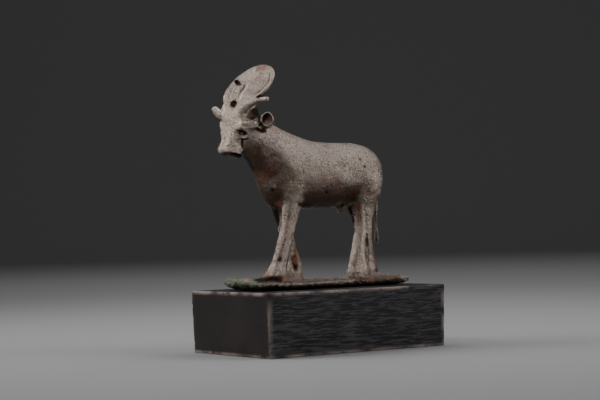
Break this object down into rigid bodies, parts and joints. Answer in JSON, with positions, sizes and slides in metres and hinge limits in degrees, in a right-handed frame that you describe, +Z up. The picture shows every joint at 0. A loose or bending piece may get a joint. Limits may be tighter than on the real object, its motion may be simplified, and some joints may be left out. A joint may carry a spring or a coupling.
{
  "type": "apis bull figure",
  "caption": "Ancient bronze striding bull with a sun disc, horns and cobra, standing on its cast plate on a black wooden block.",
  "frame": {"origin": "middle of the wooden block's underside, where the figure stands", "axes": "+Z up, the bull faces -Y, its left side is towards +X"},
  "size_m": [0.067, 0.1066, 0.1381],
  "materials": {
    "bronze": "satin",
    "black_wood": "satin"
  },
  "bodies": {
    "root": {"apis_bull": "bronze", "wooden_block": "black_wood"}
  },
  "joints": []
}
